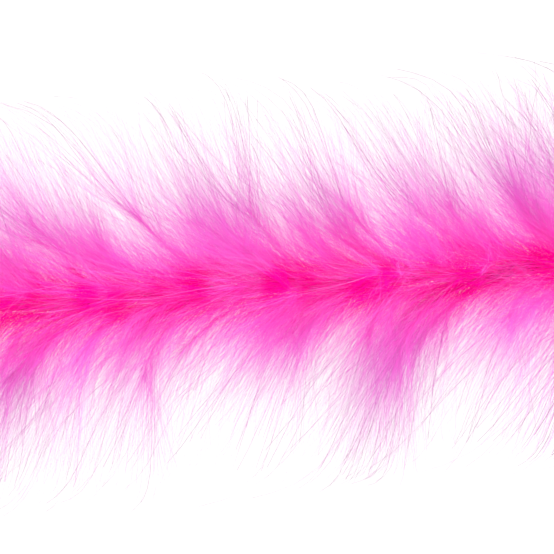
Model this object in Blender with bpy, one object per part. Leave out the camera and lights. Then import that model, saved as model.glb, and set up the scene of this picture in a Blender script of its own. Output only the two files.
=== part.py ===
"""Feather boa: a marabou down boa lying in a U on a flat surface.

Metres, +Z up, +X across the U, the front run along X at the front (-Y).
Each link of the boa is one body: core cord, quill strip, stitching thread, plume cover.
"""

import math

import bmesh
import bpy
from mathutils import Vector

# Route of the core line, lying flat
FRONT_HALF = 0.25  # half of the straight front run
BEND_RADIUS = 0.20  # quarter turns at both sides
HALF_LENGTH = 0.90  # half of the 1.8 m boa, along the core
CORE_HEIGHT = 0.050  # the underside is pressed flat by the weight

# Links, as distances along the core from the middle
JOINTS = (0.18, 0.42, 0.66)

# Core cord
CORD_RADIUS = 0.0025
CORD_END_SETBACK = 0.0029  # centre of the round cord end, from the joint
CORD_SIDES = 8

# Quill strip wound round the cord
STRIP_INNER = 0.0034
STRIP_OUTER = 0.0050
STRIP_WIDTH = 0.018
STRIP_PITCH = 0.060

# Stitching thread over the quill strip, wound the other way
THREAD_CENTRE = 0.0062
THREAD_HALF = 0.00045
THREAD_PITCH = 0.060
HELIX_STEPS = 8  # per turn
WRAP_SETBACK = 0.005  # strip and thread stop this far from a joint

# Plume cover, a soft hollow sleeve
COVER_HALF_WIDTH = 0.072
COVER_TOP = 0.070
COVER_WALL = 0.003
COVER_SIDES = 16
MOUTH_SETBACK = 0.0085  # end rim from the joint
MOUTH_HALF_WIDTH = 0.018
SHOULDER_SETBACK = 0.036  # full section from here on
END_SHOULDER = 0.050  # at the two free ends
END_MOUTH = 0.004  # the down reaches this far past the end of the cord

# Free ends
WHIP_LENGTH = 0.014
WHIP_OUTER = 0.0046
WHIP_RIDGES = 5
KNOT_RADIUS = 0.0062
TAIL_LENGTH = 0.028
TAIL_RADIUS = 0.0019
END_GAP = 0.0004

HOT_PINK = (0.90, 0.02, 0.30, 1.0)
SOFT_PINK = (0.95, 0.16, 0.52, 1.0)
CORD_PINK = (0.72, 0.01, 0.22, 1.0)
QUILL_PINK = (0.88, 0.10, 0.40, 1.0)


def clear_scene():
    for obj in list(bpy.data.objects):
        bpy.data.objects.remove(obj, do_unlink=True)


def material(name, colour, roughness):
    made = bpy.data.materials.new(name)
    made.use_nodes = True
    shader = made.node_tree.nodes["Principled BSDF"]
    shader.inputs["Base Color"].default_value = colour
    shader.inputs["Roughness"].default_value = roughness
    shader.inputs["Metallic"].default_value = 0.0
    made.diffuse_color = colour
    return made


def front_y():
    """Y of the front run that puts the middle of the whole part's box on the origin."""
    turn = BEND_RADIUS * math.pi / 2
    leg_end = BEND_RADIUS + HALF_LENGTH - FRONT_HALF - turn
    tail_end = leg_end + CORD_RADIUS + 2 * KNOT_RADIUS + 2 * END_GAP + TAIL_LENGTH
    cover_front = COVER_HALF_WIDTH * math.cos(math.pi / COVER_SIDES)
    return -(tail_end - cover_front) / 2


def route(s):
    """Point, forward direction and left direction of the core at distance s from the middle."""
    side = 1.0 if s >= 0 else -1.0
    d = abs(s)
    turn = BEND_RADIUS * math.pi / 2
    if d <= FRONT_HALF:
        x, y, angle = d, 0.0, 0.0
    elif d <= FRONT_HALF + turn:
        angle = (d - FRONT_HALF) / BEND_RADIUS
        x = FRONT_HALF + BEND_RADIUS * math.sin(angle)
        y = BEND_RADIUS * (1 - math.cos(angle))
    else:
        angle = math.pi / 2
        x = FRONT_HALF + BEND_RADIUS
        y = BEND_RADIUS + d - FRONT_HALF - turn
    point = Vector((side * x, front_y() + y, CORE_HEIGHT))
    forward = Vector((math.cos(angle), side * math.sin(angle), 0.0))
    left = Vector((-forward.y, forward.x, 0.0))
    return point, forward, left


def place(s, across, up):
    point, _, left = route(s)
    return point + left * across + Vector((0.0, 0.0, up))


def capped(rings, count):
    """Faces that join rings of count points each, with both ends capped."""
    faces = []
    for i in range(rings - 1):
        for j in range(count):
            k = (j + 1) % count
            faces.append((i * count + j, i * count + k, (i + 1) * count + k, (i + 1) * count + j))
    last = (rings - 1) * count
    faces.append(tuple(range(count - 1, -1, -1)))
    faces.append(tuple(last + j for j in range(count)))
    return faces


def hollow(rings, count):
    """Faces of an open-ended sleeve: the outer rings come first, then the inner rings."""
    faces = []
    inner = rings * count
    for j in range(count):
        k = (j + 1) % count
        for i in range(rings - 1):
            here, there = i * count, (i + 1) * count
            faces.append((here + j, there + j, there + k, here + k))
            faces.append((inner + here + j, inner + here + k, inner + there + k, inner + there + j))
        for end in (0, (rings - 1) * count):
            faces.append((end + j, end + k, inner + end + k, inner + end + j))
    return faces


def solid(name, points, faces, mat, pivot, parent=None):
    """One closed mesh whose origin is the pivot."""
    mesh = bpy.data.meshes.new(name)
    mesh.from_pydata([tuple(p - pivot) for p in points], [], faces)
    work = bmesh.new()
    work.from_mesh(mesh)
    bmesh.ops.remove_doubles(work, verts=work.verts, dist=1e-6)
    bmesh.ops.recalc_face_normals(work, faces=work.faces)
    work.to_mesh(mesh)
    work.free()
    mesh.materials.append(mat)
    obj = bpy.data.objects.new(name, mesh)
    bpy.context.scene.collection.objects.link(obj)
    if parent is None:
        obj.location = pivot
    else:
        obj.parent = parent
    return obj


def stations(start, end, step):
    count = max(1, round(abs(end - start) / step))
    return [start + (end - start) * i / count for i in range(count + 1)]


def core_cord(name, start, end, mat, pivot, parent):
    """Round cord from start to end with half-ball ends centred on both."""
    rings = []
    lean = (0.15, 0.6, 0.9)
    for f in lean:
        rings.append((start - CORD_RADIUS * math.cos(f * math.pi / 2), CORD_RADIUS * math.sin(f * math.pi / 2)))
    for s in stations(start, end, 0.03):
        rings.append((s, CORD_RADIUS))
    for f in reversed(lean):
        rings.append((end + CORD_RADIUS * math.cos(f * math.pi / 2), CORD_RADIUS * math.sin(f * math.pi / 2)))
    points = []
    for s, radius in rings:
        for j in range(CORD_SIDES):
            a = 2 * math.pi * j / CORD_SIDES
            points.append(place(s, radius * math.cos(a), radius * math.sin(a)))
    return solid(name, points, capped(len(rings), CORD_SIDES), mat, pivot, parent)


def wound(name, start, end, section, pitch, hand, mat, pivot, parent):
    """A strip or thread wound round the core: section lists (along, radius) corners."""
    turns = (end - start) / pitch
    count = max(4, round(turns * HELIX_STEPS))
    points = []
    for i in range(count + 1):
        s = start + (end - start) * i / count
        a = hand * 2 * math.pi * s / pitch
        for along, radius in section:
            points.append(place(s + along, radius * math.cos(a), radius * math.sin(a)))
    return solid(name, points, capped(count + 1, len(section)), mat, pivot, parent)


def quill_strip(name, start, end, mat, pivot, parent):
    half = STRIP_WIDTH / 2
    corners = ((-half, STRIP_INNER), (half, STRIP_INNER), (half, STRIP_OUTER), (-half, STRIP_OUTER))
    return wound(name, start + half, end - half, corners, STRIP_PITCH, 1, mat, pivot, parent)


def stitch_thread(name, start, end, mat, pivot, parent):
    h = THREAD_HALF
    c = THREAD_CENTRE
    corners = ((-h, c - h), (h, c - h), (h, c + h), (-h, c + h))
    return wound(name, start + h, end - h, corners, THREAD_PITCH, -1, mat, pivot, parent)


def cover_section(angle):
    """Cover outline at full size: an oval, flat underneath."""
    across = COVER_HALF_WIDTH * math.cos(angle)
    up = COVER_TOP * math.sin(angle)
    return across, max(up, -CORE_HEIGHT)


def cover_profile(start, end, start_shoulder, end_shoulder):
    """(s, scale) pairs: narrow mouths at both ends, full section between."""
    narrow = MOUTH_HALF_WIDTH / COVER_HALF_WIDTH
    pairs = [(start, narrow)]
    pairs.append((start + 0.55 * (start_shoulder), narrow + 0.66 * (1 - narrow)))
    inner = stations(start + start_shoulder, end - end_shoulder, 0.035)
    pairs.extend((s, 1.0) for s in inner)
    pairs.append((end - 0.55 * (end_shoulder), narrow + 0.66 * (1 - narrow)))
    pairs.append((end, narrow))
    return pairs


def plume_cover(name, start, end, start_shoulder, end_shoulder, mat, pivot, parent):
    """Hollow sleeve round the core, open at both ends."""
    profile = cover_profile(start, end, start_shoulder, end_shoulder)
    angles = [2 * math.pi * (j + 0.5) / COVER_SIDES for j in range(COVER_SIDES)]
    points = []
    for grow in (0, 1):
        for s, scale in profile:
            wall = COVER_WALL if grow else 0.0
            for angle in angles:
                across, up = cover_section(angle)
                size = math.hypot(across, up) * scale
                shrink = (size - wall) / math.hypot(across, up)
                points.append(place(s, across * shrink, up * shrink))
    faces = hollow(len(profile), COVER_SIDES)
    return solid(name, points, faces, mat, pivot, parent)


def end_fittings(side, mats, pivot, parent):
    """Whipping, knot and cord tail beyond one free end of the core."""
    word = "right" if side > 0 else "left"
    tip = HALF_LENGTH
    # Whipping: a ridged collar of thread on the last stretch of cord
    rings = []
    for i in range(2 * WHIP_RIDGES + 1):
        s = tip - WHIP_LENGTH + WHIP_LENGTH * i / (2 * WHIP_RIDGES)
        rings.append((s, WHIP_OUTER - (0.0 if i % 2 else 0.0005)))
    inner = CORD_RADIUS + 0.0003
    n = 10
    points = []
    for grow in (0, 1):
        for s, radius in rings:
            r = inner if grow else radius
            for j in range(n):
                a = 2 * math.pi * j / n
                points.append(place(side * s, r * math.cos(a), r * math.sin(a)))
    faces = hollow(len(rings), n)
    solid(f"end_whipping_{word}", points, faces, mats["thread"], pivot, parent)
    # Knot: a lumpy ball past the end of the cord
    centre = tip + CORD_RADIUS + END_GAP + KNOT_RADIUS
    points = []
    rows = 7
    for i in range(rows):
        lat = math.pi * (i + 0.5) / rows
        for j in range(12):
            a = 2 * math.pi * j / 12
            r = KNOT_RADIUS * (1 + 0.07 * math.cos(3 * a + 2.2 * lat)) * math.sin(lat)
            points.append(place(side * (centre - KNOT_RADIUS * math.cos(lat)), r * math.cos(a), r * math.sin(a)))
    solid(f"end_knot_{word}", points, capped(rows, 12), mats["cord"], pivot, parent)
    # Tail: the short cord end left past the knot
    first = centre + KNOT_RADIUS + END_GAP
    points = []
    lengths = (0.0, 0.3, 0.6, 0.9, 1.0)
    radii = (0.8, 1.0, 1.0, 1.1, 0.7)
    for f, k in zip(lengths, radii):
        for j in range(8):
            a = 2 * math.pi * j / 8
            r = TAIL_RADIUS * k
            points.append(place(side * (first + TAIL_LENGTH * f), r * math.cos(a), r * math.sin(a)))
    solid(f"cord_tail_{word}", points, capped(len(radii), 8), mats["cord"], pivot, parent)


def pivot_at(s):
    return route(s)[0]


def hinge_empty(name, s, before, before_s):
    """Empty on a hinge point, under the empty of the hinge before it."""
    obj = bpy.data.objects.new(name, None)
    obj.empty_display_size = 0.02
    bpy.context.scene.collection.objects.link(obj)
    obj.location = pivot_at(s)
    if before is not None:
        obj.parent = before
        obj.location = pivot_at(s) - pivot_at(before_s)
    return obj


def link(word, low, high, free_low, free_high, mats, pivot, parent):
    """All the pieces of one link between two distances along the core."""
    cord_low = low + (0.0 if free_low else CORD_END_SETBACK)
    cord_high = high - (0.0 if free_high else CORD_END_SETBACK)
    wrap_low = low + (WHIP_LENGTH + WRAP_SETBACK if free_low else WRAP_SETBACK)
    wrap_high = high - (WHIP_LENGTH + WRAP_SETBACK if free_high else WRAP_SETBACK)
    core_cord(f"core_cord_{word}", cord_low, cord_high, mats["cord"], pivot, parent)
    quill_strip(f"quill_strip_{word}", wrap_low, wrap_high, mats["quill"], pivot, parent)
    stitch_thread(f"stitch_thread_{word}", wrap_low, wrap_high, mats["thread"], pivot, parent)
    shoulder_low = END_SHOULDER if free_low else SHOULDER_SETBACK - MOUTH_SETBACK
    shoulder_high = END_SHOULDER if free_high else SHOULDER_SETBACK - MOUTH_SETBACK
    mouth_low = low + (-END_MOUTH if free_low else MOUTH_SETBACK)
    mouth_high = high - (-END_MOUTH if free_high else MOUTH_SETBACK)
    plume_cover(f"plume_cover_{word}", mouth_low, mouth_high, shoulder_low, shoulder_high,
                mats["down"], pivot, parent)


def build():
    clear_scene()
    mats = {
        "cord": material("cotton_cord", CORD_PINK, 0.85),
        "quill": material("quill_strip", QUILL_PINK, 0.6),
        "thread": material("stitch_thread", HOT_PINK, 0.7),
        "down": material("marabou_down", SOFT_PINK, 0.95),
    }
    first, second, third = JOINTS
    zero = Vector((0.0, 0.0, 0.0))
    link("middle", -first, first, False, False, mats, zero, None)
    for side, word in ((1, "right"), (-1, "left")):
        spans = ((first, second), (second, third), (third, HALF_LENGTH))
        before, before_s = None, 0.0
        for number, (near, far) in enumerate(spans, start=1):
            joint = hinge_empty(f"hinge_{word}_{number}", side * near, before, before_s)
            before, before_s = joint, side * near
            pivot = pivot_at(side * near)
            last = number == 3
            low, high = sorted((side * near, side * far))
            link(f"{word}_{number}", low, high, last and side < 0, last and side > 0,
                 mats, pivot, joint)
            if last:
                end_fittings(side, mats, pivot, joint)


build()
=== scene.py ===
"""Feather boa: the looks.

Marabou plumes of real strands, a plied core cord, whipped and knotted ends.
"""

import math
from collections import namedtuple

import bpy
import numpy as np
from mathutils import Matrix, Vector


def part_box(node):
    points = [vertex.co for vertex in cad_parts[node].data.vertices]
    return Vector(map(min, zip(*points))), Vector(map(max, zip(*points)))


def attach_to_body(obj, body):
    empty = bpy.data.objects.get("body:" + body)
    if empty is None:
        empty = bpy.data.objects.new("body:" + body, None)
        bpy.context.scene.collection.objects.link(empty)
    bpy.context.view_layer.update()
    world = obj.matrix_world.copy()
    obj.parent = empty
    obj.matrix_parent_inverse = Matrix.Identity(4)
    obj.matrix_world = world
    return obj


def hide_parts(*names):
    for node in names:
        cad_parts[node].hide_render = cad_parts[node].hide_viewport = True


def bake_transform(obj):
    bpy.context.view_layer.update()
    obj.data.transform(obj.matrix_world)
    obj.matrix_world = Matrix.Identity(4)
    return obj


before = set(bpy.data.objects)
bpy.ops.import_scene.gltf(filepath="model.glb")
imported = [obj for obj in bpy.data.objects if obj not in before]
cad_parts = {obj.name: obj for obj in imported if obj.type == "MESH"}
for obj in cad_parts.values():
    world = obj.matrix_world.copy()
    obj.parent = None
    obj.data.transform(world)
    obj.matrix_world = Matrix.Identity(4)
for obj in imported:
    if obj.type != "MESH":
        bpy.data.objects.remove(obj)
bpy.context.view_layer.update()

# ---------------------------------------------------------------- route of the core

FRONT_HALF = 0.25
BEND_RADIUS = 0.20
HALF_LENGTH = 0.90
CORE_HEIGHT = 0.050
JOINTS = (0.18, 0.42, 0.66)
TURN = BEND_RADIUS * math.pi / 2
FRONT_Y = sum(c.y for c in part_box("plume_cover_middle")) / 2

# ---------------------------------------------------------------- plumes

PLUME_STEP = 0.0030  # along the core
STRIP_PITCH = 0.060  # the strip of plumes winds round the cord once in this length
STRIP_HALF_TURN = 0.95  # half of the strip's width, as an angle round the cord
QUILL_RADIUS = 0.0046  # the quill butts lie this far from the core line
FUZZ_RADIUS = 0.0048  # the underdown starts this far from the core line
SHAFT_LENGTH = 0.038
SHAFT_POINTS = 7
LEFT_BARE = 0.016  # no plume sits this close to the left end of the cord
RIGHT_BARE = 0.012  # or this close to the right end
TIP_FADE = 0.07  # plumes get shorter over this last stretch of both ends
LEFT_END_FADE = 0.10  # and stand up more over this stretch at the left end
NAP = -1.0  # the down leans towards the left end
DETAIL_HALF = 0.16  # the front run has finer, closer down up to here
ALONG = np.array([1.0, 0.0, 0.0])

# How far the down reaches from the core line: it is eased off between the two distances
UNDER = (0.034, CORE_HEIGHT - 0.0006)
ABOVE = (0.060, 0.077)
BESIDE = (0.070, 0.094)
PAST_END = (HALF_LENGTH + 0.02, HALF_LENGTH + 0.062)

SHADE_REACH = 0.072  # distance from the core line over which the painted shade goes from deep, for the self-shadowed core, to pale

Layer = namedtuple("Layer", "usual front points width length loose pale tones")
# usual and front: barbs on a plume, away from and on the front run. loose: how far barbs leave
# their plume's vane. pale: how far along the painted shade's range the roots start. tones: dull to
# bright; the barbs' dull end is painted shade.
LAYERS = {
    "barbs": Layer(24, 32, 8, 0.00013, 0.120, 1.3, 0.45, (0.0, 0.40)),
    "down": Layer(120, 400, 6, 0.00007, 0.090, 1.7, 0.13, (0.45, 0.98)),
    "underdown": Layer(80, 190, 4, 0.00012, 0.043, 1.0, 0.0, (0.55, 0.98)),
}


def route(s):
    """Arrays of point, forward and left of the core at distances s from the middle."""
    s = np.asarray(s, float)
    side = np.where(s >= 0, 1.0, -1.0)
    d = np.abs(s)
    angle = np.clip((d - FRONT_HALF) / BEND_RADIUS, 0, math.pi / 2)
    past = np.maximum(d - FRONT_HALF - TURN, 0)
    x = side * (np.minimum(d, FRONT_HALF) + BEND_RADIUS * np.sin(angle))
    y = FRONT_Y + BEND_RADIUS * (1 - np.cos(angle)) + past
    point = np.stack([x, y, np.full_like(x, CORE_HEIGHT)], -1)
    forward = np.stack([np.cos(angle), side * np.sin(angle), np.zeros_like(x)], -1)
    left = np.stack([-forward[..., 1], forward[..., 0], np.zeros_like(x)], -1)
    return point, forward, left


def to_world(p):
    """Points given as (along the core, left of it, above it), laid along the route."""
    point, _, left = route(p[..., 0])
    out = point + left * p[..., 1:2]
    out[..., 2] += p[..., 2]
    return out


def unit(v):
    """v with its last axis made one long."""
    return v / np.maximum(np.linalg.norm(v, axis=-1, keepdims=True), 1e-12)


def soft_limit(x, start, most):
    """x up to start, then eased so that it never passes most."""
    room = most - start
    over = np.maximum(x - start, 0)
    return np.minimum(x, start) + room * (1 - np.exp(-over / room))


def settle(p):
    """Down pressed by the surface underneath and kept within its reach above and to the sides."""
    p = p.copy()
    p[..., 2] = -soft_limit(-p[..., 2], *UNDER)
    p[..., 2] = soft_limit(p[..., 2], *ABOVE)
    p[..., 1] = np.sign(p[..., 1]) * soft_limit(np.abs(p[..., 1]), *BESIDE)
    p[..., 0] = np.sign(p[..., 0]) * soft_limit(np.abs(p[..., 0]), *PAST_END)
    return p


def round_core(phi):
    """Directions away from the core line at these angles, and round it."""
    still = np.zeros_like(phi)
    out = np.stack([still, np.cos(phi), np.sin(phi)], -1)
    around = np.stack([still, -np.sin(phi), np.cos(phi)], -1)
    return out, around


def fades(s):
    """Size of the down, and how much of its lean is left, at distances s along the core."""
    near_end = np.clip((HALF_LENGTH - np.abs(s)) / TIP_FADE, 0, 1)
    left_end = np.clip((s + HALF_LENGTH) / LEFT_END_FADE, 0.15, 1)
    return 0.62 + 0.38 * near_end, left_end


def plume_shafts(rng):
    """Shafts of all plumes: points, directions, size, place and quill butts."""
    s0 = np.arange(-HALF_LENGTH + LEFT_BARE, HALF_LENGTH - RIGHT_BARE, PLUME_STEP)
    n = len(s0)
    s0 = s0 + rng.normal(0, 0.0012, n)
    spread = rng.normal(0, 1.75, n).clip(-2.9, 2.9)
    wound = 2 * math.pi * s0 / STRIP_PITCH
    seat = wound + spread.clip(-STRIP_HALF_TURN, STRIP_HALF_TURN)
    phi = wound + spread
    phi = phi - 0.10 * np.sin(2 * phi)  # lying down, it parts a little along the top
    out, around = round_core(phi)
    shorter, left_end = fades(s0)
    size = rng.normal(1.0, 0.18, n).clip(0.6, 1.45) * shorter
    lean_start = np.radians(rng.normal(62, 10, n)) * left_end
    lean_end = np.radians(rng.normal(37, 12, n)) * left_end
    swing = rng.normal(0, 0.30, n)
    t = np.linspace(0, 1, SHAFT_POINTS)
    lean = lean_start[:, None] + (lean_end - lean_start)[:, None] * t
    way = unit(
        out[:, None] * np.cos(lean)[..., None]
        + NAP * ALONG * np.sin(lean)[..., None]
        + around[:, None] * (swing[:, None] * t)[..., None]
    )
    step = way * (SHAFT_LENGTH * size / (SHAFT_POINTS - 1))[:, None, None]
    seat_out = round_core(seat)[0]
    base = seat_out * QUILL_RADIUS + s0[:, None] * ALONG
    points = base[:, None] + np.cumsum(step, 1) - step[:, :1]
    back = np.array([0.010, 0.0045])[:, None] * ALONG
    butts = base[:, None] + back - seat_out[:, None] * 0.0002
    return points, way, size, s0, butts


def fuzz_on(rng, low, high, count, layer):
    """Short down standing close round the core between two distances along it."""
    s = rng.uniform(low, high, count)
    out, around = round_core(rng.uniform(0, 2 * math.pi, count))
    shorter, left_end = fades(s)
    tau = np.linspace(0, 1, layer.points)
    lean = (np.radians(rng.normal(56, 15, count)) * left_end)[:, None] * (1 - 0.30 * tau)
    swing = rng.normal(0, 0.5, (count, 1)) + rng.normal(0, 0.35, (count, 1)) * tau
    heading = unit(
        out[:, None] * np.cos(lean)[..., None]
        + NAP * ALONG * np.sin(lean)[..., None]
        + around[:, None] * swing[..., None]
    )
    reach = layer.length * rng.uniform(0.35, 1.45, count) * shorter
    step = heading * (reach / (layer.points - 1))[:, None, None]
    base = out * FUZZ_RADIUS + s[:, None] * ALONG
    return base[:, None] + np.cumsum(step, 1) - step[:, :1]


def barbs_on(rng, plumes, count, layer):
    """Barbs of these plumes: (plumes * count, points, 3)."""
    points, loose = layer.points, layer.loose
    shaft, way, size = plumes
    n = len(shaft)
    t = np.sort(rng.random((n, count)) ** 0.7, 1)
    where = t * (SHAFT_POINTS - 1)
    low = np.minimum(where.astype(int), SHAFT_POINTS - 2)
    part = (where - low)[..., None]
    rows = np.arange(n)[:, None]
    root = shaft[rows, low] * (1 - part) + shaft[rows, low + 1] * part
    along = unit(way[rows, low] * (1 - part) + way[rows, low + 1] * part)
    # each plume is a loose vane: barbs leave on both sides of its own plane
    turn = rng.normal(0, 1, (n, 1, 3))
    vane = unit(turn - (turn * along).sum(-1, keepdims=True) * along)
    normal = np.cross(along, vane)
    side = np.where(rng.random((n, count)) < 0.5, -1.0, 1.0)
    # barbs cling together in small tufts that share most of their shape
    group = np.cumsum(rng.random((n, count)) < 0.12, 1)
    shared = rng.normal(0, 1, (n, count, 5))[rows, group]
    mix = 0.85 * shared + 0.36 * rng.normal(0, 1, (n, count, 5))
    tau = np.linspace(0, 1, points)
    beta = np.radians(20 + 11 * loose * mix[..., 0])[..., None] * (1 - 0.4 * tau)
    wave_at = rng.uniform(0, 2 * math.pi, (n, count, 1))
    wave_count = rng.uniform(0.4, 1.3, (n, count, 1))
    wave = 0.12 * np.sin(wave_at + 2 * math.pi * wave_count * tau)
    tilt = 0.32 * loose * mix[..., 1][..., None] + 0.30 * mix[..., 2][..., None] * tau + wave
    outward = unit(root * np.array([0.0, 1.0, 1.0]))
    rise = (1.05 + 0.40 * mix[..., 3])[..., None] * tau
    heading = unit(
        along[:, :, None] * np.cos(beta)[..., None]
        + (vane * side[..., None])[:, :, None] * np.sin(beta)[..., None]
        + normal[:, :, None] * tilt[..., None]
        + outward[:, :, None] * rise[..., None]
    )
    reach = layer.length * size[:, None] * (1 + 0.16 * mix[..., 4]).clip(0.5, 1.6)
    reach = reach * (0.20 + 0.56 * rng.random((n, count)) ** 1.2)
    reach = reach * np.where(rng.random((n, count)) < 0.05, 1.5, 1.0)  # the odd long wisp
    step = heading * (reach / (points - 1))[..., None, None]
    strands = root[:, :, None] + np.cumsum(step, 2) - step[:, :, :1]
    return strands.reshape(-1, points, 3)


def ribbons(rng, world, wide, taper):
    """Ribbon corners on both sides of each strand: (strands, points, 2, 3)."""
    n, k, _ = world.shape
    along = unit(np.gradient(world, axis=1))
    pick = rng.normal(0, 1, (n, 1, 3)) + 0.35 * rng.normal(0, 1, (n, k, 3))
    across = unit(np.cross(along, pick))
    tau = np.linspace(0, 1, k)
    half = 0.5 * wide[:, None] * (1 + (taper - 1) * tau)
    offset = across * half[..., None]
    return np.stack([world - offset, world + offset], 2)


def tubes(paths, radius, sides):
    """Tube corners round each path: (paths, points, sides, 3).

    radius is one number or (paths, points).
    """
    along = unit(np.gradient(paths, axis=1))
    help_by = np.where(np.abs(along[..., 2:]) < 0.8, [0.0, 0.0, 1.0], [1.0, 0.0, 0.0])
    first = unit(np.cross(along, help_by))
    second = np.cross(along, first)
    turn = 2 * math.pi * np.arange(sides) / sides
    ring = first[:, :, None] * np.cos(turn)[:, None] + second[:, :, None] * np.sin(turn)[:, None]
    size = np.broadcast_to(np.asarray(radius, float), paths.shape[:2])
    return paths[:, :, None] + ring * size[..., None, None]


SLIVER = 0.004  # half of a strand's width in the map


def strand_mesh(name, blocks, mat):
    """One mesh from blocks of (corners, shade, tone).

    A block holds ribbons (two corners across) or tubes (more corners round). The UV map holds
    shade across and tone up, which the material reads.
    """
    points, faces, coords, first = [], [], [], 0
    for corners, shade, tone in blocks:
        n, k, m = corners.shape[:3]
        here = first + (np.arange(n)[:, None] * k + np.arange(k - 1))[..., None] * m
        a = np.arange(m if m > 2 else 1)
        b = (a + 1) % m
        quads = np.stack([here + a, here + b, here + m + b, here + m + a], -1).reshape(-1, 4)
        # each strand is a sliver wide in the map, so that its texels are its own tone
        turn = 2 * math.pi * np.arange(m) / m
        sliver = SLIVER * (np.array([-1, 1]) if m == 2 else np.cos(turn))
        u = np.broadcast_to(shade[..., None], (n, k, m))
        v = np.broadcast_to(tone[..., None], (n, k, m)) + sliver
        points.append(corners.reshape(-1, 3))
        faces.append(quads)
        coords.append(np.stack([u, v], -1).reshape(-1, 2))
        first += n * k * m
    points, faces, coords = (np.concatenate(x) for x in (points, faces, coords))
    mesh = bpy.data.meshes.new(name)
    mesh.vertices.add(len(points))
    mesh.vertices.foreach_set("co", points.astype(np.float32).ravel())
    mesh.loops.add(faces.size)
    mesh.loops.foreach_set("vertex_index", faces.astype(np.int32).ravel())
    mesh.polygons.add(len(faces))
    mesh.polygons.foreach_set("loop_start", np.arange(0, faces.size, 4, dtype=np.int32))
    mesh.polygons.foreach_set("use_smooth", np.ones(len(faces), bool))
    uv = coords[faces.ravel()].clip(0.002, 0.998).astype(np.float32)
    for layer in ("strand", "OFBake"):
        mesh.uv_layers.new(name=layer).data.foreach_set("uv", uv.ravel())
    mesh.update(calc_edges=True)
    mesh.validate()
    mesh.materials.append(mat)
    obj = bpy.data.objects.new(name, mesh)
    bpy.context.scene.collection.objects.link(obj)
    return obj


# ---------------------------------------------------------------- materials


def nodes_of(name):
    """An empty node material with its output."""
    mat = bpy.data.materials.new(name)
    mat.use_nodes = True
    tree = mat.node_tree
    tree.nodes.clear()
    out = tree.nodes.new("ShaderNodeOutputMaterial")
    return mat, tree, out


def ramp(tree, stops):
    """A colour ramp with these (position, colour) stops."""
    node = tree.nodes.new("ShaderNodeValToRGB")
    band = node.color_ramp
    while len(band.elements) < len(stops):
        band.elements.new(0.5)
    for element, (at, colour) in zip(band.elements, stops):
        element.position = at
        element.color = (*colour, 1.0)
    return node


def strand_material(name, stops, dull, bright, roughness, sheen, through):
    """Dyed fibre: the shade picks its colour between the stops, the tone its brightness; in the
    down, stops and tones also hold painted shade.
    """
    mat, tree, out = nodes_of(name)
    new, join = tree.nodes.new, tree.links.new
    uv = new("ShaderNodeUVMap")
    uv.uv_map = "strand"
    split = new("ShaderNodeSeparateXYZ")
    join(uv.outputs[0], split.inputs[0])
    colour = ramp(tree, stops)
    join(split.outputs["X"], colour.inputs[0])
    tone = new("ShaderNodeHueSaturation")
    shift = new("ShaderNodeMapRange")
    shift.inputs["To Min"].default_value = dull
    shift.inputs["To Max"].default_value = bright
    join(split.outputs["Y"], shift.inputs["Value"])
    join(shift.outputs[0], tone.inputs["Value"])
    join(colour.outputs[0], tone.inputs["Color"])
    body = new("ShaderNodeBsdfPrincipled")
    body.inputs["Roughness"].default_value = roughness
    body.inputs["Specular IOR Level"].default_value = sheen
    join(tone.outputs[0], body.inputs["Base Color"])
    glow = new("ShaderNodeBsdfTranslucent")
    join(tone.outputs[0], glow.inputs["Color"])
    mix = new("ShaderNodeMixShader")
    mix.inputs[0].default_value = through
    join(body.outputs[0], mix.inputs[1])
    join(glow.outputs[0], mix.inputs[2])
    join(mix.outputs[0], out.inputs["Surface"])
    return mat


# painted shade in the down's stops: the deep magenta at low shade stands for the self-shadowed
# core, the dark mauve last stop for outer tips lit less than the bright floor
DOWN = strand_material(
    "dyed_down_painted_shade",
    [
        (0.0, (0.96, 0.001, 0.45)),
        (0.11, (0.96, 0.002, 0.50)),
        (0.25, (0.95, 0.10, 0.69)),
        (0.50, (0.91, 0.22, 0.76)),
        (0.86, (0.81, 0.23, 0.71)),
        (1.0, (0.46, 0.13, 0.34)),
    ],
    dull=0.52, bright=1.06, roughness=0.70, sheen=0.05, through=0.30,
)
COTTON = strand_material(
    "dyed_cotton",
    [(0.0, (0.52, 0.002, 0.18)), (1.0, (0.94, 0.09, 0.46))],
    dull=0.70, bright=1.05, roughness=0.85, sheen=0.2, through=0.08,
)
QUILL = strand_material(
    "dyed_quills",
    [(0.0, (0.92, 0.04, 0.48)), (1.0, (0.96, 0.22, 0.68))],
    dull=0.75, bright=1.05, roughness=0.38, sheen=0.5, through=0.25,
)
THREAD = strand_material(
    "sewing_thread",
    [(0.0, (0.60, 0.003, 0.20)), (1.0, (0.95, 0.07, 0.42))],
    dull=0.75, bright=1.05, roughness=0.45, sheen=0.5, through=0.05,
)

# ---------------------------------------------------------------- pieces of down

# One side's cuts between pieces, along the core: one hinge between each two, none past the last
CUTS = (0.06, 0.30, 0.54, 0.78)


def zones():
    """(name, low, high, bodies, joint distance) for each stretch of the boa."""
    out = [("middle", -CUTS[0], CUTS[0], ("middle",), None)]
    for side, word in ((1, "right"), (-1, "left")):
        before = "middle"
        for i, joint in enumerate(JOINTS):
            after = f"{word}_{i + 1}"
            low, high = sorted((side * CUTS[i], side * CUTS[i + 1]))
            out.append((after, low, high, (before, after), side * joint))
            before = after
        low, high = sorted((side * CUTS[-1], side * (HALF_LENGTH + 0.01)))
        out.append((f"{word}_end", low, high, (before,), None))
    return out


def attach(obj, bodies, joint):
    """Rides on one body; a piece across the hinge between two only has its transform baked in."""
    if joint is None:
        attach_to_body(obj, bodies[0])
        return
    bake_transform(obj)


def replace_nodes(kind, label):
    """Hides the part's own node of this kind in its stretch."""
    link_name = label.replace("_end", "_3")
    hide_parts(f"{kind}_{link_name}")


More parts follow.
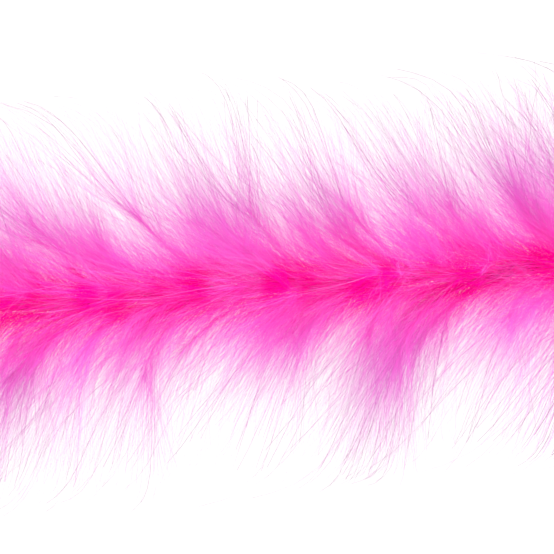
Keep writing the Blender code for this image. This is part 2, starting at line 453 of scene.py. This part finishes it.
# Patches of painted deep shade, standing for gaps into the self-shadowed core, follow each other
# along the core line: strength, wavelength and phase of each wave
GAP_SHADE_WAVES = ((1.0, 0.040, 1.1), (0.8, 0.0171, 2.0), (0.5, 0.0093, 0.0))
GAP_SHADE_HALF = 0.0080
GAP_SHADE_SWAY = (0.004, 0.052, 0.6)  # their line sways by this much, at this wavelength and phase


def painted_gap_shade(batch):
    """How far each point lies in one of the patches of painted deep shade along the core line, 0
    to 1.
    """
    s, across = batch[..., 0], batch[..., 1]
    wave = sum(k * np.sin(2 * math.pi * s / length + at) for k, length, at in GAP_SHADE_WAVES)
    sway, length, at = GAP_SHADE_SWAY
    line = sway * np.sin(2 * math.pi * s / length + at)
    return (wave / 0.9 + 0.4).clip(0, 1) * np.exp(-(((across - line) / GAP_SHADE_HALF) ** 4))


def down_block(rng, batch, tuft, layer, wide):
    """Ribbons with their shade and tone for these strands."""
    # painted shade: the colour runs deep near the core line, standing for its self-shadowed
    # inside, and pale further out; height counts less than width here, and plumes differ at random
    # in how deep it goes
    near = np.linalg.norm(batch[..., 1:] * np.array([1.0, 0.42]), axis=-1) / SHADE_REACH
    tau = np.linspace(0, 1, layer.points)
    shade = 0.8 * near + 0.2 * tau + 0.26 * (tuft[:, None] - 0.55) * (1.3 - near).clip(0.2, 1)
    shade = layer.pale + (1 - layer.pale) * shade
    # most strands get painted deep shade over these patches, and a few barbs cross them pale
    if layer is LAYERS["barbs"]:
        most, taper, share = 0.99, 0.65, np.where(tuft < 0.62, 0.85, 0.0)[:, None]
    else:
        most, taper, share = 0.86, 0.35, 0.94
    shade = shade * (1 - share * painted_gap_shade(batch))
    # painted shade: the barbs' dull tones darken them like strands lit less than the bright floor;
    # near the core line every layer's tone is lifted towards 0.9
    local = layer.tones[0] + (layer.tones[1] - layer.tones[0]) * tuft[:, None]
    deep = (1.55 - 2.8 * np.abs(batch[..., 1]) / SHADE_REACH).clip(0, 1)
    local = local + (0.9 - local) * deep
    world = to_world(settle(batch))
    corners = ribbons(rng, world, wide * rng.uniform(0.7, 1.35, len(batch)), taper)
    return corners, shade.clip(0.01, most), local


def make_down(rng, plumes):
    """The three layers of down on each stretch."""
    shaft, way, size, s0, _ = plumes
    tone = rng.uniform(0.02, 0.98, len(shaft))
    for label, low, high, bodies, joint in zones():
        for kind, layer in LAYERS.items():
            blocks = []
            for fine, count in ((False, layer.usual), (True, layer.front)):
                mine = (s0 >= low) & (s0 < high) & ((np.abs(s0) < DETAIL_HALF) == fine)
                if not mine.any():
                    continue
                wide = layer.width * (1.0 if fine else (layer.front / layer.usual) ** 0.75)
                if kind == "underdown":
                    edges = s0[mine].min(), s0[mine].max() + PLUME_STEP
                    batch = fuzz_on(rng, *edges, count * mine.sum(), layer)
                    tuft = rng.uniform(0, 1, len(batch))
                else:
                    batch = barbs_on(rng, (shaft[mine], way[mine], size[mine]), count, layer)
                    tuft = np.repeat(tone[mine], count) + rng.normal(0, 0.18, len(batch))
                    tuft = tuft.clip(0, 1)
                blocks.append(down_block(rng, batch, tuft, layer, wide))
            obj = strand_mesh(f"{kind}_{label}", blocks, DOWN)
            replace_nodes("plume_cover", label)
            attach(obj, bodies, joint)


# ---------------------------------------------------------------- core: cord, quills, thread, ends

CORD_PLIES = 3
CORD_PLY_TURN = 0.00125  # a ply's centre from the core line
CORD_PLY_RADIUS = 0.00128
CORD_LAY = 0.013  # one turn of the plies
STRIP_INNER = 0.0034
STRIP_OUTER = 0.0040
THREAD_TURN = 0.0055  # the stitching thread's centre from the core line
WRAP_SETBACK = 0.019  # strip and thread stop this far from a free end
WHIPPING_THREAD = 0.00043
KNOT_CENTRE = 0.0091  # past the end of the cord; the knot's strands begin 2.2 mm past it
END_PLY_TURN = 0.00105  # in the knot and the tail the cord is pulled tighter
KNOT_PLY_RADIUS = 0.00118
KNOT_LAY = 0.0095
TAIL_START = 0.004  # past the knot's centre
TAIL_LENGTH = 0.028
TAIL_PLY_RADIUS = 0.00112
TAIL_LAY = 0.012
FIBRE_RADIUS = 0.00006


def yarn(rng, paths, radius, sides):
    """A block of tubes with the uneven shade of spun fibre."""
    n, k = paths.shape[:2]
    shade = (0.55 + 0.22 * rng.normal(0, 1, (n, k))).clip(0.03, 0.97)
    tone = (0.5 + 0.2 * rng.normal(0, 1, (n, k))).clip(0.03, 0.97)
    return tubes(paths, radius, sides), shade, tone


def plies(path, count, offset, pitch):
    """Paths of plies twisted round a path (points, 3): (count, points, 3)."""
    along = unit(np.gradient(path, axis=0))
    gone = np.concatenate([[0.0], np.cumsum(np.linalg.norm(np.diff(path, axis=0), axis=1))])
    side = np.zeros_like(path)
    side[0] = unit(np.cross(along[0], [0.13, 0.21, 1.0]))
    for i in range(1, len(path)):
        side[i] = unit(side[i - 1] - along[i] * (side[i - 1] @ along[i]))
    other = np.cross(along, side)
    turn = 2 * math.pi * (gone / pitch + np.arange(count)[:, None] / count)
    return path + offset * (side * np.cos(turn)[..., None] + other * np.sin(turn)[..., None])


def along_core(low, high, step):
    """Distances from low to high, about a step apart."""
    return np.linspace(low, high, max(2, round((high - low) / step) + 1))


def cord_block(rng, low, high):
    """The plies of the core cord."""
    s = along_core(low, high, 0.0011)
    turn = 2 * math.pi * (s / CORD_LAY + np.arange(CORD_PLIES)[:, None] / CORD_PLIES)
    s_all = np.broadcast_to(s, turn.shape)
    local = np.stack([s_all, CORD_PLY_TURN * np.cos(turn), CORD_PLY_TURN * np.sin(turn)], -1)
    return yarn(rng, to_world(local), CORD_PLY_RADIUS, 8)


def strip_block(rng, low, high):
    """The band that the quills are sewn to, wound round the cord."""
    s = along_core(low, high, 0.0016)
    turn = 2 * math.pi * s / STRIP_PITCH
    edge = STRIP_HALF_TURN * np.array([-1, -0.33, 0.33, 1, 1, 0.33, -0.33, -1])
    radius = np.repeat([STRIP_INNER, STRIP_OUTER], 4)
    angle = turn[:, None] + edge
    s_all = np.broadcast_to(s[:, None], angle.shape)
    local = np.stack([s_all, radius * np.cos(angle), radius * np.sin(angle)], -1)
    shade = 0.25 + 0.2 * rng.random((1, len(s)))
    tone = 0.4 + 0.3 * rng.random((1, len(s)))
    return to_world(local)[None], shade, tone


def quill_block(rng, plumes, mine):
    """Quill butts on the band, each going on as its plume's shaft."""
    shaft, _, _, _, butts = plumes
    path = np.concatenate([butts[mine], shaft[mine]], 1)
    n, k = path.shape[:2]
    thick = [0.00030, 0.00045, 0.00032, 0.00006]
    radius = np.interp(np.linspace(0, 1, k), [0, 0.1, 0.35, 1], thick)
    radius = radius * rng.uniform(0.8, 1.15, (n, 1))
    shade = np.linspace(0.85, 0.25, k) + 0.06 * rng.normal(0, 1, (n, k))
    tone = rng.uniform(0.3, 0.95, (n, 1)) + 0.03 * rng.normal(0, 1, (n, k))
    return tubes(to_world(settle(path)), radius, 5), shade.clip(0.03, 0.97), tone.clip(0.03, 0.97)


def thread_block(rng, low, high):
    """The two-ply stitching thread, wound the other way than the strip."""
    s = along_core(low, high, 0.0012)
    turn = -2 * math.pi * s / STRIP_PITCH
    local = np.stack([s, THREAD_TURN * np.cos(turn), THREAD_TURN * np.sin(turn)], -1)
    return yarn(rng, plies(to_world(local), 2, 0.00019, 0.0022), 0.00022, 6)


def make_core(rng, plumes):
    """Cord, quills and thread of each stretch."""
    s0 = plumes[3]
    for label, low, high, bodies, joint in zones():
        low, high = max(low, -HALF_LENGTH), min(high, HALF_LENGTH)
        free_low, free_high = low <= -HALF_LENGTH, high >= HALF_LENGTH
        wrap = low + WRAP_SETBACK * free_low, high - WRAP_SETBACK * free_high
        mine = (s0 >= low) & (s0 < high)
        cord = [cord_block(rng, low, high)]
        quills = [strip_block(rng, *wrap), quill_block(rng, plumes, mine)]
        pieces = [
            ("core_cord", COTTON, "cotton_cord", cord),
            ("quill_strip", QUILL, "quill_strip", quills),
            ("stitch_thread", THREAD, "stitch_thread", [thread_block(rng, *wrap)]),
        ]
        for kind, mat, slot, blocks in pieces:
            obj = strand_mesh(f"fine_{kind}_{label}", blocks, mat)
            replace_nodes(kind, label)
            attach(obj, bodies, joint)


def whipping_block(rng, side):
    """Thread wound out along the end of the cord and back over itself."""
    turns, length, radii = 17, 0.0135, (0.0032, 0.0041)
    t = np.linspace(0, 2, turns * 40)
    out = np.where(t < 1, t, 2 - t)
    radius = radii[0] + (radii[1] - radii[0]) * ((t - 0.97) / 0.06).clip(0, 1)
    angle = 2 * math.pi * turns * t
    s = side * (HALF_LENGTH - length + length * out)
    local = np.stack([s, radius * np.cos(angle), radius * np.sin(angle)], -1)
    return yarn(rng, to_world(local)[None], WHIPPING_THREAD, 6)


def knot_block(rng, centre, forward):
    """The cord's three crossings, drawn tight."""
    t = np.linspace(0, 2 * math.pi, 200)
    ring = 0.0031 + 0.0019 * np.cos(3 * t)
    along, aside, lift = ring * np.cos(2 * t) * 1.1, ring * np.sin(2 * t), 0.0021 * np.sin(3 * t)
    local = np.stack([along, aside, lift], -1)
    left = np.array([-forward[1], forward[0], 0.0])
    tilt = math.radians(25)
    up = np.array([0, 0, math.cos(tilt)]) + left * math.sin(tilt)
    across = np.cross(up, forward)
    path = centre + local[:, :1] * forward + local[:, 1:2] * across + local[:, 2:] * up
    return yarn(rng, plies(path, CORD_PLIES, END_PLY_TURN, KNOT_LAY), KNOT_PLY_RADIUS, 8)


def tail_blocks(rng, start, forward):
    """The cord's short end, and its loose fibres."""
    t = np.linspace(0, 1, 34)
    droop = np.array([0.0, 0.0, -0.005])
    path = start + (t * TAIL_LENGTH)[:, None] * forward + (t**2)[:, None] * droop
    opened = 1 + 0.9 * ((t - 0.72) / 0.28).clip(0, 1)
    wound = plies(path, CORD_PLIES, 1.0, TAIL_LAY) - path
    ply_paths = path + wound * (END_PLY_TURN * opened)[:, None]
    thinner = 1 - 0.35 * ((t - 0.8) / 0.2).clip(0, 1)
    radius = np.broadcast_to(TAIL_PLY_RADIUS * thinner, (CORD_PLIES, len(t)))
    count, k = 130, 6
    tau = np.linspace(0, 1, k)
    root = ply_paths[rng.integers(0, CORD_PLIES, count), -1]
    root = root - forward * rng.uniform(0, 0.005, (count, 1))
    spray = unit(forward + 0.36 * rng.normal(0, 1, (count, 3)))
    bend = 0.5 * rng.normal(0, 1, (count, 3))
    heading = unit(spray[:, None] + bend[:, None] * tau[:, None] ** 2)
    step = heading * (rng.uniform(0.005, 0.011, count) / (k - 1))[:, None, None]
    fibres = root[:, None] + np.cumsum(step, 1) - step[:, :1]
    shade = rng.uniform(0.3, 0.9, (count, 1)) + 0.05 * tau
    tone = rng.uniform(0.3, 0.9, (count, 1)) + 0 * tau
    loose = (tubes(fibres, FIBRE_RADIUS, 3), shade, tone)
    return [yarn(rng, ply_paths, radius, 8), loose]


def make_ends(rng):
    """Whipping, knot and tail at both free ends."""
    for side, word in ((1, "right"), (-1, "left")):
        forward = route(side * HALF_LENGTH)[1] * side
        centre = route(side * (HALF_LENGTH + KNOT_CENTRE))[0]
        start = centre + forward * TAIL_START
        pieces = [
            ("end_whipping", THREAD, "stitch_thread", [whipping_block(rng, side)]),
            ("end_knot", COTTON, "cotton_cord", [knot_block(rng, centre, forward)]),
            ("cord_tail", COTTON, "cotton_cord", tail_blocks(rng, start, forward)),
        ]
        for kind, mat, slot, blocks in pieces:
            obj = strand_mesh(f"fine_{kind}_{word}", blocks, mat)
            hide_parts(f"{kind}_{word}")
            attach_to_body(obj, f"{word}_3")


RNG = np.random.default_rng(7)
PLUMES = plume_shafts(RNG)
make_down(RNG, PLUMES)
make_core(RNG, PLUMES)
make_ends(RNG)

# ---------------------------------------------------------------- floor, light, camera


SKY = 1.15
KEY_WATTS = 32
FILL_WATTS = 15
LIGHT_SIZE = 1.2
FLOOR_GLOW = 0.92
CAMERA_ABOVE = 1.247  # over the core line
CAMERA_TURN = -4.0  # degrees, so that the core line rises to the right


def floor_material():
    """Plain white, nearly all of it its own light, so that no shadow falls on it."""
    mat, tree, out = nodes_of("white_table")
    shader = tree.nodes.new("ShaderNodeBsdfPrincipled")
    shader.inputs["Base Color"].default_value = (0.10, 0.10, 0.10, 1)
    shader.inputs["Roughness"].default_value = 0.8
    shader.inputs["Specular IOR Level"].default_value = 0.0
    shader.inputs["Emission Color"].default_value = (1, 1, 1, 1)
    shader.inputs["Emission Strength"].default_value = FLOOR_GLOW
    tree.links.new(shader.outputs[0], out.inputs["Surface"])
    return mat


def make_floor():
    """A wide sheet just under the boa."""
    mesh = bpy.data.meshes.new("floor")
    reach = 6.0
    corners = [(-reach, -reach, 0), (reach, -reach, 0), (reach, reach, 0), (-reach, reach, 0)]
    mesh.from_pydata(corners, [], [(0, 1, 2, 3)])
    obj = bpy.data.objects.new("floor", mesh)
    bpy.context.scene.collection.objects.link(obj)
    obj.location.z = -0.0004
    mesh.materials.append(floor_material())


def area_light(name, place, aim, size, watts):
    """A square light at place, turned to aim."""
    data = bpy.data.lights.new(name, "AREA")
    data.shape = "SQUARE"
    data.size = size
    data.energy = watts
    obj = bpy.data.objects.new(name, data)
    bpy.context.scene.collection.objects.link(obj)
    obj.location = place
    obj.rotation_euler = (Vector(aim) - Vector(place)).to_track_quat("-Z", "Y").to_euler()


def make_stage():
    """Sky, floor, two soft lights and the camera, straight above the front run."""
    scene = bpy.context.scene
    world = bpy.data.worlds.new("studio")
    world.use_nodes = True
    sky = world.node_tree.nodes["Background"]
    sky.inputs[0].default_value = (1, 1, 1, 1)
    sky.inputs[1].default_value = SKY
    scene.world = world
    make_floor()
    aim = (0, FRONT_Y, CORE_HEIGHT)
    area_light("key", (-0.9, FRONT_Y + 0.9, 1.6), aim, LIGHT_SIZE, KEY_WATTS)
    area_light("fill", (0.8, FRONT_Y - 0.9, 1.5), aim, LIGHT_SIZE, FILL_WATTS)
    data = bpy.data.cameras.new("camera")
    data.lens = 180
    data.sensor_width = 36
    camera = bpy.data.objects.new("camera", data)
    scene.collection.objects.link(camera)
    camera.location = (0.0, FRONT_Y + 0.0045, CORE_HEIGHT + CAMERA_ABOVE)
    camera.rotation_euler = (0, 0, math.radians(CAMERA_TURN))
    scene.camera = camera
    scene.view_settings.view_transform = "Standard"
    scene.view_settings.look = "None"
    scene.cycles.diffuse_bounces = 8
    scene.cycles.transmission_bounces = 12
    scene.cycles.max_bounces = 16


make_stage()

# ---------------------------------------------------------------- last update of the view layer

bpy.context.view_layer.update()
